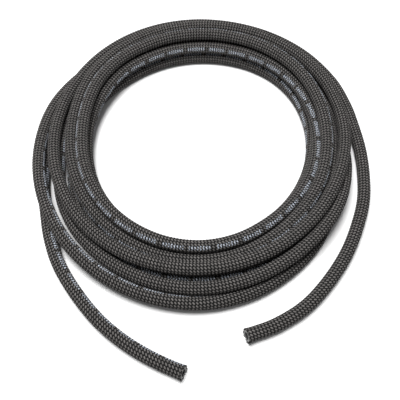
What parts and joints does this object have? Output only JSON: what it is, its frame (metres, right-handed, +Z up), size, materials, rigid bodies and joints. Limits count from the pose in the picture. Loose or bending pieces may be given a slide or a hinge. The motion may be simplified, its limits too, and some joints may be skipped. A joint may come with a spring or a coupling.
{
  "type": "fuel hose",
  "caption": "Loosely wound coil of textile-braided rubber fuel hose, lying flat with both cut ends free",
  "frame": {"origin": "on the floor, under the middle of the box round the whole hose", "axes": "+Z is up from the floor the coil lies on, -Y points to the side with both cut ends"},
  "size_m": [0.295, 0.356, 0.0331],
  "materials": {
    "rubber": "matt black nitrile rubber, paler where it is cut",
    "braid": "woven dark grey textile yarn"
  },
  "bodies": {
    "root": {"rubber_tube": "rubber", "textile_braid": "braid"}
  },
  "joints": []
}
